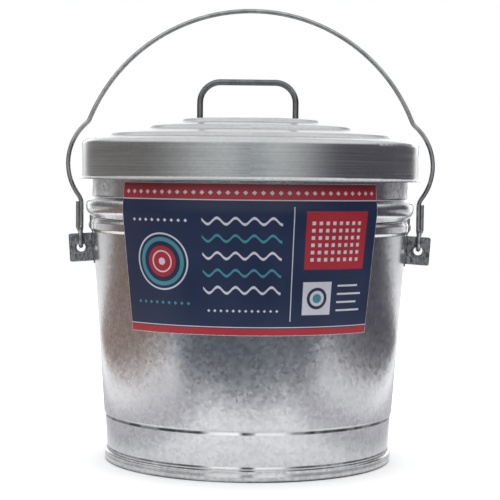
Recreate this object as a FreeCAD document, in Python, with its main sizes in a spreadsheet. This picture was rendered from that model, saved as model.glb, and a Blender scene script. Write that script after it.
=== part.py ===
import FreeCAD, Part
import math
import os
import re

import Sketcher

# A galvanized steel trash can with a lift-off lid, a fixed rod handle on the lid and a wire
# bail that swings up over the lid and holds it down. Millimetres, +Z up, the floor at z = 0,
# the can's axis on Z, the ears on the X axis, and the label facing -Y.

Vector = FreeCAD.Vector
Rotation = FreeCAD.Rotation
Placement = FreeCAD.Placement

X_AXIS = Vector(1, 0, 0)
Y_AXIS = Vector(0, 1, 0)
Z_AXIS = Vector(0, 0, 1)

doc = FreeCAD.newDocument("trash_can")
sheet = doc.addObject("Spreadsheet::Sheet", "Sizes")

# --------------------------------------------------------------------------- driving sizes
SIZES = (
    # the can's wall: a cone of thin sheet, wider at the top
    ("wall_radius", 147.7, "outer radius the cone would have at floor level"),
    ("taper", 0.0677, "radius gained per millimetre of height"),
    ("sheet", 0.6, "thickness of the wall's and the lid's sheet"),
    ("bend", 1.5, "radius of a plain bend in the sheet"),
    ("fit", 0.02, "clearance between pieces that are pressed together"),
    ("swage_height", 49.0, "middle of the step pressed round the foot of the wall"),
    ("swage_rise", 4.0, "height over which the wall steps out"),
    ("swage_step", 1.2, "how far the wall steps out"),
    # the two beads rolled round the wall below the lid
    ("small_bead_height", 243.3, "middle of the small bead"),
    ("small_bead_crest", 6.6, "height of its flat crest"),
    ("small_bead_flank", 3.0, "height of each of its flanks"),
    ("small_bead_depth", 1.5, "how far it stands out"),
    ("bead_gap", 2.1, "bare wall between the two beads"),
    ("main_bead_crest", 9.0, "height of its crest"),
    ("main_bead_flank", 6.5, "height of each of its flanks"),
    ("main_bead_depth", 5.7, "how far it stands out"),
    ("main_bead_round", 8.5, "radius of the crest's shoulders"),
    ("main_bead_foot", 3.0, "radius at the foot of each flank"),
    # the rolled rim and its wire
    ("rim_rise", 55.05, "from the main bead's upper end up to the wire's middle in the rolled rim"),
    ("rim_wire_radius", 2.0, "inner radius of the rolled rim"),
    ("rim_wire_play", 0.1, "how much thinner the wire is than the roll's inside"),
    # the lock seam up the back of the wall
    ("seam_width", 8.0, "width of the folded seam"),
    ("seam_thickness", 1.2, "how far its folded layers stand out"),
    ("seam_gap", 0.7, "bare wall between the seam and the bottom's folded edge"),
    ("seam_cover", 6.0, "how far under the lid's edge the seam ends"),
    # the bottom, folded round the wall's lower edge
    ("base_sheet", 0.6, "thickness of the bottom's sheet"),
    ("chime_height", 11.2, "top of the folded edge outside the wall"),
    ("chime_depth", 1.9, "how far the fold's inner face stands off the wall's foot"),
    ("chime_slope", 1.6, "height of the sloped end of the fold"),
    ("chime_round", 1.0, "radius of the fold's bends"),
    ("base_height", 13.0, "top of the raised bottom"),
    ("base_round", 2.0, "radius where the bottom turns up to the wall"),
    # the lid
    ("lid_side_gap", 1.75, "clearance between the rim and the lid's skirt"),
    ("lid_seat_gap", 0.45, "clearance between the rim and the lid that rests on it"),
    ("lid_shoulder_round", 6.0, "radius of the lid's shoulder"),
    ("lid_skirt_depth", 38.5, "height of the skirt"),
    ("lid_flare_reach", 5.8, "how far the skirt's lower edge flares out"),
    ("lid_flare_drop", 1.4, "height of the flare"),
    ("lid_flare_round", 2.5, "radius between the flare and the skirt"),
    ("lid_slope", 0.115, "rise of the lid's top per millimetre inwards"),
    ("lid_band_1", 26.9, "from the skirt to the middle of the outer step"),
    ("lid_band_2", 39.7, "from the outer to the middle step"),
    ("lid_band_3", 34.7, "from the middle to the inner step"),
    ("lid_step_rise", 3.9, "height of each of the three steps in the lid's top"),
    ("lid_step_run", 2.4, "width of each step"),
    ("lid_step_round", 1.8, "radius at the top and foot of each step"),
    # the fixed rod handle on the lid
    ("handle_rod_radius", 3.2, "radius of the handle's rod"),
    ("handle_span", 100.0, "distance between the middles of its legs"),
    ("handle_aside", 3.4, "how far the handle sits to -X of the lid's middle"),
    ("handle_height", 39.0, "height of the bar's middle over the lid's flat middle"),
    ("handle_corner", 21.5, "radius of the rod's middle line at the corners"),
    ("tenon_radius", 2.4, "radius of the shouldered end that goes through the lid"),
    ("tenon_head_radius", 4.4, "radius of that end where it is hammered over"),
    ("tenon_head_height", 1.2, "thickness of the hammered end"),
    ("washer_radius", 7.5, "outer radius of the washer under each leg"),
    ("washer_height", 1.2, "thickness of that washer"),
    # the ears that carry the bail: a foot that lies on the wall and a folded fin
    ("ear_sheet", 1.3, "thickness of the ears' sheet"),
    ("ear_foot_width", 28.0, "width of the foot round the wall"),
    ("ear_foot_drop", 39.8, "from the small bead's middle down to the foot's lower end"),
    ("ear_foot_climb", 1.5, "how far the foot's upper end climbs the main bead's flank"),
    ("ear_foot_gap", 0.25, "clearance between that end and the flank"),
    ("fin_drop", 23.1, "from the small bead's middle down to the fin's middle"),
    ("fin_height", 29.5, "height of the fin"),
    ("fin_reach", 26.9, "how far the fin stands out from the wall"),
    ("fin_slot", 1.0, "gap between the fin's two leaves"),
    ("fin_root", 2.4, "radius where the leaves turn out of the foot"),
    ("fin_fold", 1.6, "outer radius of the fold along the fin's edge"),
    ("fin_corner", 2.5, "radius of the fin's outer corners"),
    ("ear_hole_reach", 14.4, "from the wall to the middle of the hole through the fin"),
    ("ear_hole_radius", 4.7, "radius of that hole"),
    ("ear_lip", 0.8, "radius of the raised lip round the hole"),
    ("ear_lip_gap", 1.6, "from the hole's edge to the lip's middle line"),
    # the rivets that hold the ears
    ("rivet_radius", 1.7, "radius of a rivet's shank"),
    ("rivet_head_radius", 3.8, "radius of its domed head"),
    ("rivet_head_height", 1.7, "height of the dome"),
    ("rivet_tail_radius", 2.6, "radius of the flat end inside the can"),
    ("rivet_tail_height", 0.9, "thickness of that end"),
    ("rivet_spacing", 15.0, "distance between an ear's two rivets"),
    # the bail: one wire with an eye at each end
    ("bail_radius", 2.3, "radius of the bail's wire"),
    ("bail_over_lid", 5.2, "how much larger the arch's radius is than the lid's"),
    ("bail_arch_drop", 46.2, "from the lid's shoulder down to the arch's centre"),
    ("bail_lean", 0.4, "how far the arch's top is bent to +X"),
    ("bail_spread", 1.5, "radius that the arch loses at +X and gains at -X, per millimetre of lean"),
    ("bail_bow", 56.0, "radius of the bow round the lid's edge"),
    ("bail_bow_gap", 6.2, "clearance between the bow and the lid's flared edge"),
    ("bail_bow_rise", 15.5, "from the lid's edge up to the bow's widest point"),
    ("bail_kink", 12.0, "radius of the kink over the lid's shoulder"),
    ("bail_foot", 15.0, "radius where the bow turns into the leg"),
    ("eye_play", 1.2, "clearance between the eye and the top of the ear's hole"),
    ("eye_radius", 8.9, "radius of an eye's middle line"),
    ("eye_neck", 5.0, "radius of the wire's bends beside the eye"),
    ("return_low", 2.0, "height over the eye's middle where the end starts towards the leg"),
    ("return_high", 11.0, "height over the eye's middle where it lies along the leg"),
    ("return_aside", 3.7, "how far the end then lies outside the leg"),
    ("return_behind", 3.0, "how far it lies behind the leg"),
    ("return_length", 38.0, "height over the eye's middle where the wire ends"),
    # the wrap label on the front
    ("label_sheet", 0.25, "thickness of the label"),
    ("label_low", 143.3, "height of its lower edge"),
    ("label_gap", 2.0, "clearance between its upper edge and the lid's edge"),
    ("label_angle", 46.3, "half of the angle that the label covers"),
    ("label_air", 0.15, "clearance under its lower edge"),
    ("label_lift", 0.6, "how far it stands off the main bead's crest"),
    ("label_round", 30.0, "radius of its bend over the main bead"),
    ("label_stand", 2.2, "clearance between its upper edge and the wall"),
)

for row, (alias, value, note) in enumerate(SIZES, start=1):
    sheet.set(f"A{row}", alias)
    sheet.set(f"B{row}", str(value))
    sheet.set(f"C{row}", note)
    sheet.setAlias(f"B{row}", alias)
doc.recompute()

ALIASES = {alias for alias, _, _ in SIZES}


# --------------------------------------------------------------- sizes and formulas of sizes
def formula(text):
    """A formula of size names, written as the document reads it."""
    return re.sub(r"[a-z]\w*", lambda word: f"Sizes.{word[0]}" if word[0] in ALIASES else word[0], text)


reader = doc.addObject("App::FeaturePython", "Reader")
reader.addProperty("App::PropertyFloat", "Value")


def number(text):
    """What a formula of size names gives now."""
    reader.setExpression("Value", formula(text))
    reader.recompute()
    return reader.Value


def bind(item, **sizes):
    """Tie an object's properties to formulas of size names."""
    for name, text in sizes.items():
        item.setExpression(name, formula(text))


def wall(height):
    """Outer radius of the wall's cone at a height."""
    return f"(wall_radius + taper * ({height}))"


def wall_foot(height):
    """Outer radius of the wall below the pressed step."""
    return f"({wall(height)} - swage_step)"


SWAGE_LOW = "(swage_height - swage_rise / 2)"
SWAGE_HIGH = "(swage_height + swage_rise / 2)"
SMALL_CREST_LOW = "(small_bead_height - small_bead_crest / 2)"
SMALL_CREST_HIGH = "(small_bead_height + small_bead_crest / 2)"
SMALL_LOW = f"({SMALL_CREST_LOW} - small_bead_flank)"
SMALL_HIGH = f"({SMALL_CREST_HIGH} + small_bead_flank)"
MAIN_LOW = f"({SMALL_HIGH} + bead_gap)"
MAIN_CREST_LOW = f"({MAIN_LOW} + main_bead_flank)"
MAIN_MIDDLE = f"({MAIN_CREST_LOW} + main_bead_crest / 2)"
MAIN_CREST_HIGH = f"({MAIN_CREST_LOW} + main_bead_crest)"
MAIN_HIGH = f"({MAIN_CREST_HIGH} + main_bead_flank)"

RIM_HEIGHT = f"({MAIN_HIGH} + rim_rise)"
RIM_MIDDLE = f"({wall(RIM_HEIGHT)} + rim_wire_radius)"
RIM_REACH = f"({RIM_MIDDLE} + rim_wire_radius + sheet)"
RIM_TOP = f"({RIM_HEIGHT} + rim_wire_radius + sheet)"

LID_RADIUS = f"({RIM_REACH} + lid_side_gap + sheet)"
LID_SHOULDER = f"({RIM_TOP} + lid_seat_gap + sheet - lid_slope * ({LID_RADIUS} - {RIM_MIDDLE}))"
LID_EDGE = f"({LID_SHOULDER} - lid_skirt_depth - lid_flare_drop)"
LID_STEPS = (
    f"({LID_RADIUS} - lid_band_1)",
    f"({LID_RADIUS} - lid_band_1 - lid_band_2)",
    f"({LID_RADIUS} - lid_band_1 - lid_band_2 - lid_band_3)",
)


def lid_height(radius, steps):
    """Height of the lid's sloping top at a radius, with so many steps outside it."""
    slope = f"lid_slope * ({LID_RADIUS} - {radius} - {steps} * lid_step_run)"
    return f"({LID_SHOULDER} + {steps} * lid_step_rise + {slope})"


LID_TOP = f"({lid_height(f'({LID_STEPS[-1]} + lid_step_run / 2)', len(LID_STEPS) - 1)} + lid_step_rise)"


# ------------------------------------------------------------------------------- sketching
UPRIGHT = Placement(Vector(), Rotation(X_AXIS, 90))


def rounding(before, corner, after, radius):
    """Centre, start and end of the arc that rounds a corner, and whether it turns left."""
    inward = (corner - before).normalize()
    outward = (after - corner).normalize()
    reach = radius * math.tan(inward.getAngle(outward) / 2)
    left = inward.cross(outward).z > 0
    start = corner - inward * reach
    side = Vector(-inward.y, inward.x, 0) * (radius if left else -radius)
    return start + side, start, corner + outward * reach, left


def angle_about(centre, place):
    return math.atan2(place.y - centre.y, place.x - centre.x)


def line_sketch(name, corners, placement=UPRIGHT, closed=False):
    """A sketch of straight runs with rounded corners, from the first corner to the last.

    Each corner is (across, up, radius) in formulas of size names, and a radius of None leaves
    it sharp, as the first and last are. A construction point holds each corner at its formulas,
    each run passes through two of those points, and each arc is tangent to its two runs.
    """
    sketch = doc.addObject("Sketcher::SketchObject", name)
    sketch.Placement = placement
    for across, up, _ in corners:
        mark = sketch.addGeometry(Part.Point(Vector(1, 1, 0)), True)
        for kind, text in (("DistanceX", across), ("DistanceY", up)):
            index = sketch.addConstraint(Sketcher.Constraint(kind, -1, 1, mark, 1, 1.0))
            sketch.setExpression(f"Constraints[{index}]", formula(text))
    doc.recompute()
    places = [Vector(sketch.Geometry[i].X, sketch.Geometry[i].Y, 0) for i in range(len(corners))]

    run_from = list(places)
    run_to = list(places)
    arcs = {}
    for i, (_, _, text) in enumerate(corners):
        if text is None:
            continue
        radius = number(text)
        centre, run_to[i], run_from[i], left = rounding(places[i - 1], places[i], places[i + 1], radius)
        low, high = (run_to[i], run_from[i]) if left else (run_from[i], run_to[i])
        sweep_from = angle_about(centre, low)
        sweep_to = angle_about(centre, high)
        if sweep_to < sweep_from:
            sweep_to += 2 * math.pi
        circle = Part.Circle(centre, Z_AXIS, radius)
        arc = sketch.addGeometry(Part.ArcOfCircle(circle, sweep_from, sweep_to))
        index = sketch.addConstraint(Sketcher.Constraint("Radius", arc, radius))
        sketch.setExpression(f"Constraints[{index}]", formula(text))
        arcs[i] = (arc, 1, 2) if left else (arc, 2, 1)

    for i in range(len(corners) if closed else len(corners) - 1):
        j = (i + 1) % len(corners)
        run = sketch.addGeometry(Part.LineSegment(run_from[i], run_to[j]))
        for corner, run_end, arc_end in ((i, 1, 2), (j, 2, 1)):
            if corner not in arcs:
                sketch.addConstraint(Sketcher.Constraint("Coincident", run, run_end, corner, 1))
                continue
            arc = arcs[corner]
            sketch.addConstraint(Sketcher.Constraint("PointOnObject", corner, 1, run))
            sketch.addConstraint(Sketcher.Constraint("Tangent", arc[0], arc[arc_end], run, run_end))
    doc.recompute()
    return sketch


LEFT = 1
RIGHT = -1


def sheet_section(name, line, thickness, side):
    """The face between a line and its parallel, on the left or right of the line as drawn."""
    start, ahead = [Vector(line.Geometry[i].X, line.Geometry[i].Y, 0) for i in (0, 1)]
    ahead = ahead - start
    aside = Vector(-ahead.y, ahead.x, 0).normalize() * side * number(thickness) / 2
    inside = Part.Vertex(line.Placement.multVec(start + ahead / 20 + aside))

    face = doc.addObject("Part::Offset2D", name)
    face.Source = line
    face.Mode = "Skin"
    face.Fill = True
    # the sign that means left depends on the plane's normal, so a place in the sheet settles it
    for sign in (1, -1):
        bind(face, Value=f"{sign} * {thickness}")
        face.recompute()
        if face.Shape.Faces and face.Shape.distToShape(inside)[0] < number("fit"):
            return face
    raise RuntimeError(f"{name} has no sheet on its side")


def turned(name, face, half_angle=None, facing=0):
    """A section turned about the can's axis: all round, or to both sides of one direction."""
    body = doc.addObject("Part::Revolution", name)
    body.Source = face
    body.Axis = Z_AXIS
    body.Base = Vector()
    body.Solid = True
    body.Angle = 360
    if half_angle:
        body.Symmetric = True
        bind(body, Angle=f"2 * {half_angle}")
        body.Placement = Placement(Vector(), Rotation(Z_AXIS, facing))
    return body


def cylinder(name, radius, low, high, placement=Placement()):
    """A cylinder along its own Z, from one height to another."""
    item = doc.addObject("Part::Cylinder", name)
    bind(item, Radius=radius, Height=f"({high}) - ({low})")
    item.Placement = placement.multiply(Placement(Vector(0, 0, number(low)), Rotation()))
    return item


def extruded(name, face, direction, length):
    """A section pushed both ways, half the length each."""
    item = doc.addObject("Part::Extrusion", name)
    item.Base = face
    item.DirMode = "Custom"
    item.Dir = direction
    item.Solid = True
    item.Symmetric = True
    bind(item, LengthFwd=length)
    return item


def fused(name, *pieces):
    item = doc.addObject("Part::MultiFuse", name)
    item.Shapes = list(pieces)
    return item


def cut(name, base, *tools):
    item = doc.addObject("Part::Cut", name)
    item.Base = base
    item.Tool = tools[0] if len(tools) == 1 else group(f"{name}_tools", *tools)
    return item


def group(name, *pieces):
    item = doc.addObject("Part::Compound", name)
    item.Links = list(pieces)
    return item


def mirrored(name, source):
    """The same piece on the other side of the can."""
    item = doc.addObject("Part::Mirroring", name)
    item.Source = source
    item.Normal = X_AXIS
    item.Base = Vector()
    return item


parts = []


def finished(item, label):
    """Name a finished piece as its file and node are named."""
    item.Label = label
    parts.append(item)


# -------------------------------------------------------------- the rivets and their holes
SLANT = math.degrees(math.atan(number("taper")))
CREST_REACH = f"({wall('small_bead_height')} + small_bead_depth)"
FOOT_OUTSIDE = "(fit + ear_sheet)"


def rivet_place(side):
    """Where a rivet meets the small bead's crest at +X, with its own Z out of the can."""
    turn = Rotation(Z_AXIS, side * math.degrees(math.asin(number(f"rivet_spacing / 2 / {CREST_REACH}"))))
    base = turn.multVec(Vector(number(CREST_REACH), 0, number("small_bead_height")))
    return Placement(base, turn.multiply(Rotation(Y_AXIS, 90 + SLANT)))


def rivet(name, side):
    """A rivet: its shank, its domed head on the ear's foot and its flat end in the can."""
    place = rivet_place(side)
    inside = f"(-1 * (sheet + fit + rivet_tail_radius * rivet_tail_radius / {CREST_REACH}))"
    shank = cylinder(f"{name}_shank", "rivet_radius", inside, f"{FOOT_OUTSIDE} + fit", place)
    tail = cylinder(f"{name}_tail", "rivet_tail_radius", f"{inside} - rivet_tail_height", inside, place)
    dome = doc.addObject("Part::Ellipsoid", f"{name}_dome")
    bind(dome, Radius1="rivet_head_height", Radius2="rivet_head_radius")
    dome.Radius3 = 0
    dome.Angle1 = 0
    dome.Placement = place.multiply(Placement(Vector(0, 0, number(f"{FOOT_OUTSIDE} + fit")), Rotation()))
    return fused(name, shank, tail, dome)


def rivet_holes(name):
    """The drillings for the two rivets of the ear at +X."""
    reach = f"({FOOT_OUTSIDE} + sheet + small_bead_depth)"
    sides = {"front": -1, "back": 1}
    return [
        cylinder(f"{name}_{word}", "rivet_radius + fit", f"-1 * {reach}", reach, rivet_place(side))
        for word, side in sides.items()
    ]


# -------------------------------------------------------------------- the can's wall and rim
WALL_CORNERS = (
    (wall_foot(SWAGE_LOW), SWAGE_LOW, "bend"),
    (wall(SWAGE_HIGH), SWAGE_HIGH, "bend"),
    (wall(SMALL_LOW), SMALL_LOW, "bend"),
    (f"{wall(SMALL_CREST_LOW)} + small_bead_depth", SMALL_CREST_LOW, "bend"),
    (f"{wall(SMALL_CREST_HIGH)} + small_bead_depth", SMALL_CREST_HIGH, "bend"),
    (wall(SMALL_HIGH), SMALL_HIGH, "bend"),
    (wall(MAIN_LOW), MAIN_LOW, "main_bead_foot"),
    (f"{wall(MAIN_CREST_LOW)} + main_bead_depth", MAIN_CREST_LOW, "main_bead_round"),
    (f"{wall(MAIN_CREST_HIGH)} + main_bead_depth", MAIN_CREST_HIGH, "main_bead_round"),
    (wall(MAIN_HIGH), MAIN_HIGH, "main_bead_foot"),
)
ROLL_BEND = "0.9 * rim_wire_radius"
ROLL_INSIDE = wall(RIM_HEIGHT)
ROLL_LOW = f"({RIM_HEIGHT} - rim_wire_radius)"
ROLL_HIGH = f"({RIM_HEIGHT} + rim_wire_radius)"
ROLL_CORNERS = (
    (wall(ROLL_HIGH), ROLL_HIGH, ROLL_BEND),
    (f"{ROLL_INSIDE} + 2 * rim_wire_radius", ROLL_HIGH, ROLL_BEND),
    (f"{ROLL_INSIDE} + 2 * rim_wire_radius", ROLL_LOW, ROLL_BEND),
    (f"{ROLL_INSIDE} + 0.8 * rim_wire_radius", ROLL_LOW, None),
)
WALL_END = "(base_sheet + fit)"
wall_line = line_sketch("wall_line", [(wall_foot(WALL_END), WALL_END, None), *WALL_CORNERS, *ROLL_CORNERS])
wall_sheet = turned("wall_sheet", sheet_section("wall_section", wall_line, "sheet", LEFT))

SEAM_LOW = "(chime_height + base_sheet + seam_gap)"
SEAM_HIGH = f"({LID_EDGE} - seam_cover)"
seam_line = line_sketch(
    "seam_line",
    [(wall_foot(SEAM_LOW), SEAM_LOW, None), *WALL_CORNERS, (wall(SEAM_HIGH), SEAM_HIGH, None)],
)
seam_section = sheet_section("seam_section", seam_line, "seam_thickness", RIGHT)
seam = turned("seam", seam_section, "asin(seam_width / 2 / wall_radius)", facing=90)

ear_drillings = rivet_holes("wall_hole")
ear_drillings += [mirrored(f"{hole.Name}_mirrored", hole) for hole in ear_drillings]
finished(cut("wall_drilled", fused("wall_and_seam", wall_sheet, seam), *ear_drillings), "body_shell")

rim_ring = doc.addObject("Part::Torus", "rim_ring")
bind(rim_ring, Radius1=RIM_MIDDLE, Radius2="rim_wire_radius - rim_wire_play")
rim_ring.Placement = Placement(Vector(0, 0, number(RIM_HEIGHT)), Rotation())
finished(rim_ring, "rim_wire")

# ------------------------------------------------------------------------ the raised bottom
CHIME_INSIDE = f"({wall_foot('chime_height')} + chime_depth)"
base_line = line_sketch(
    "base_line",
    [
        (f"{wall_foot('chime_height')} + fit", "chime_height", None),
        (CHIME_INSIDE, "chime_height - chime_slope", "chime_round"),
        (CHIME_INSIDE, "base_sheet", "chime_round"),
        (f"{wall_foot('base_sheet')} - sheet - fit", "base_sheet", None),
        (f"{wall_foot('base_height')} - sheet - fit", "base_height", "base_round"),
        ("0", "base_height", None),
    ],
)
finished(turned("base", sheet_section("base_section", base_line, "base_sheet", LEFT)), "bottom_pan")

# ----------------------------------------------------------------------------------- the lid
lid_corners = [
    (f"{LID_RADIUS} + lid_flare_reach", LID_EDGE, None),
    (LID_RADIUS, f"{LID_EDGE} + lid_flare_drop", "lid_flare_round"),
    (LID_RADIUS, LID_SHOULDER, "lid_shoulder_round"),
]
for steps, middle in enumerate(LID_STEPS):
    step_foot = f"({middle} + lid_step_run / 2)"
    foot_height = lid_height(step_foot, steps)
    lid_corners.append((step_foot, foot_height, "lid_step_round"))
    lid_corners.append((f"{step_foot} - lid_step_run", f"{foot_height} + lid_step_rise", "lid_step_round"))
lid_corners.append(("0", LID_TOP, None))
lid_line = line_sketch("lid_line", lid_corners)
lid_sheet = turned("lid_sheet", sheet_section("lid_section", lid_line, "sheet", LEFT))

# --------------------------------------------------------------------- the handle on the lid
WASHER_LOW = f"({LID_TOP} + fit)"
WASHER_HIGH = f"({WASHER_LOW} + washer_height)"
LEG_FOOT = f"({WASHER_HIGH} + fit)"
TENON_END = f"({LID_TOP} - sheet - fit)"
TENON_HEAD_END = f"({TENON_END} - tenon_head_height)"
HANDLE_BAR = f"({LID_TOP} + handle_height)"
LEFT_LEG = "(-1 * handle_span / 2 - handle_aside)"
RIGHT_LEG = "(handle_span / 2 - handle_aside)"

handle_line = line_sketch(
    "handle_line",
    [
        (LEFT_LEG, LEG_FOOT, None),
        (LEFT_LEG, HANDLE_BAR, "handle_corner"),
        (RIGHT_LEG, HANDLE_BAR, "handle_corner"),
        (RIGHT_LEG, LEG_FOOT, None),
    ],
)
rod_end = doc.addObject("Part::Circle", "rod_end")
bind(rod_end, Radius="handle_rod_radius")
rod_end.Placement = Placement(Vector(number(LEFT_LEG), 0, number(LEG_FOOT)), Rotation())
rod = doc.addObject("Part::Sweep", "rod")
rod.Sections = [rod_end]
rod.Spine = (handle_line, [f"Edge{i + 1}" for i in range(len(handle_line.Shape.Edges))])
rod.Solid = True

handle_pieces = [rod]
washers = []
tenon_holes = []
for word, across in (("left", LEFT_LEG), ("right", RIGHT_LEG)):
    leg = Placement(Vector(number(across), 0, 0), Rotation())
    handle_pieces.append(cylinder(f"{word}_tenon", "tenon_radius", TENON_END, LEG_FOOT, leg))
    handle_pieces.append(
        cylinder(f"{word}_tenon_head", "tenon_head_radius", TENON_HEAD_END, TENON_END, leg)
    )
    tenon_holes.append(
        cylinder(f"{word}_tenon_hole", "tenon_radius + fit", TENON_HEAD_END, WASHER_HIGH, leg)
    )
    disc = cylinder(f"{word}_washer_disc", "washer_radius", WASHER_LOW, WASHER_HIGH, leg)
    washers.append(cut(f"{word}_washer", disc, tenon_holes[-1]))
finished(cut("lid_drilled", lid_sheet, *tenon_holes), "lid_shell")
finished(fused("handle", *handle_pieces), "lid_handle")
finished(group("washers", *washers), "lid_handle_washers")

# ----------------------------------------------------------------------------------- the ears
FIN_MIDDLE = "(small_bead_height - fin_drop)"
FIN_HALF = "(fin_slot / 2 + ear_sheet)"
FIN_WING = f"({FIN_HALF} + fin_root + fit)"
FOOT_LOW = "(small_bead_height - ear_foot_drop)"
FOOT_HIGH = f"({MAIN_LOW} + ear_foot_climb)"
MAIN_FLANK = f"({wall(FOOT_HIGH)} + main_bead_depth / main_bead_flank * ear_foot_climb)"

# the ear's own frame stands on the wall at the fin's middle and leans out with the wall
ear_frame = Placement(Vector(number(f"{wall(FIN_MIDDLE)} + fit"), 0, number(FIN_MIDDLE)), Rotation(Y_AXIS, SLANT))

foot_line = line_sketch(
    "foot_line",
    [
        (f"{wall(FOOT_LOW)} + fit", FOOT_LOW, None),
        (f"{wall(SMALL_LOW)} + fit", SMALL_LOW, "bend"),
        (f"{wall(SMALL_CREST_LOW)} + small_bead_depth + fit", SMALL_CREST_LOW, "bend"),
        (f"{wall(SMALL_CREST_HIGH)} + small_bead_depth + fit", SMALL_CREST_HIGH, "bend"),
        (f"{MAIN_FLANK} + ear_foot_gap", FOOT_HIGH, None),
    ],
)
foot_section = sheet_section("foot_section", foot_line, "ear_sheet", RIGHT)
ear_foot = turned("ear_foot", foot_section, f"asin(ear_foot_width / 2 / {wall(FIN_MIDDLE)})")

fin_line = line_sketch(
    "fin_line",
    [
        ("ear_sheet", f"-1 * {FIN_WING}", None),
        ("ear_sheet", f"-1 * {FIN_HALF}", "fin_root"),
        ("fin_reach", f"-1 * {FIN_HALF}", "fin_fold"),
        ("fin_reach", FIN_HALF, "fin_fold"),
        ("ear_sheet", FIN_HALF, "fin_root"),
        ("ear_sheet", FIN_WING, None),
    ],
    ear_frame,
)
fin_section = sheet_section("fin_section", fin_line, "ear_sheet", LEFT)
fin_strip = extruded("fin_strip", fin_section, ear_frame.Rotation.multVec(Z_AXIS), "fin_height")

fin_outline = line_sketch(
    "fin_outline",
    [
        ("-1 * fin_reach", "-1 * fin_height / 2", None),
        ("fin_reach", "-1 * fin_height / 2", "fin_corner"),
        ("fin_reach", "fin_height / 2", "fin_corner"),
        ("-1 * fin_reach", "fin_height / 2", None),
    ],
    ear_frame.multiply(UPRIGHT),
    closed=True,
)
fin_block = extruded("fin_block", fin_outline, Y_AXIS, f"3 * {FIN_WING}")
fin = doc.addObject("Part::MultiCommon", "fin")
fin.Shapes = [fin_strip, fin_block]

hole_frame = ear_frame.multiply(Placement(Vector(number("ear_hole_reach"), 0, 0), Rotation(X_AXIS, 90)))
ear_hole = cylinder("ear_hole", "ear_hole_radius", f"-2 * {FIN_HALF}", f"2 * {FIN_HALF}", hole_frame)
lips = []
for word, side in (("front", 1), ("back", -1)):
    lip = doc.addObject("Part::Torus", f"{word}_lip")
    bind(lip, Radius1="ear_hole_radius + ear_lip_gap", Radius2="ear_lip")
    lip.Placement = hole_frame.multiply(Placement(Vector(0, 0, side * number(FIN_HALF)), Rotation()))
    lips.append(lip)

right_ear = cut("ear", fused("ear_blank", ear_foot, fin, *lips), ear_hole, *rivet_holes("ear_drilling"))
finished(right_ear, "right_ear")
finished(mirrored("other_ear", right_ear), "left_ear")
right_rivets = group("rivets", rivet("front_rivet", -1), rivet("back_rivet", 1))
finished(right_rivets, "right_ear_rivets")
finished(mirrored("other_rivets", right_rivets), "left_ear_rivets")

# ----------------------------------------------------------------------------------- the bail
HOLE_MIDDLE = hole_frame.Base
EYE_HEIGHT = HOLE_MIDDLE.z + number("ear_hole_radius - eye_play - bail_radius + eye_radius")
ARCH_RADIUS = number(f"{LID_RADIUS} + bail_over_lid")
ARCH_HEIGHT = number(f"{LID_SHOULDER} - bail_arch_drop")
BOW_RADIUS = number("bail_bow")
BOW_REACH = number(f"{LID_RADIUS} + lid_flare_reach + bail_bow_gap + bail_radius")
BOW_HEIGHT = number(f"{LID_EDGE} + bail_bow_rise")
KINK_RADIUS = number("bail_kink")
FOOT_RADIUS = number("bail_foot")
EYE_RADIUS = number("eye_radius")
NECK_RADIUS = number("eye_neck")


def straight(start, end):
    return Part.LineSegment(start, end).toShape()


def arc(centre, start, end):
    """The shorter arc about a centre between two places."""
    reach = (start - centre).Length
    middle = centre + ((start - centre) + (end - centre)).normalize() * reach
    return Part.Arc(start, middle, end).toShape()


def towards(centre, other, distance):
    """The place at a distance from a centre in another place's direction."""
    return centre + (other - centre).normalize() * distance


def bent(places, radius):
    """Edges of straight runs through places, with an arc of one radius at each bend."""
    edges = []
    start = places[0]
    for before, corner, after in zip(places, places[1:], places[2:]):
        inward = (corner - before).normalize()
        outward = (after - corner).normalize()
        reach = radius * math.tan(inward.getAngle(outward) / 2)
        bend_start = corner - inward * reach
        bend_end = corner + outward * reach
        centre = towards(corner, corner + outward - inward, math.hypot(radius, reach))
        edges += [straight(start, bend_start), arc(centre, bend_start, bend_end)]
        start = bend_end
    return [*edges, straight(start, places[-1])]


def upper_meeting(centre, radius, other_centre, other_radius):
    """The upper place in the XZ plane at two distances from two centres."""
    apart = other_centre - centre
    along = (apart.Length ** 2 + radius ** 2 - other_radius ** 2) / (2 * apart.Length)
    aside = math.sqrt(radius ** 2 - along ** 2)
    across = Vector(-apart.z, 0, apart.x).normalize() * aside
    middle = towards(centre, other_centre, along)
    return max(middle + across, middle - across, key=lambda place: place.z)


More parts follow.
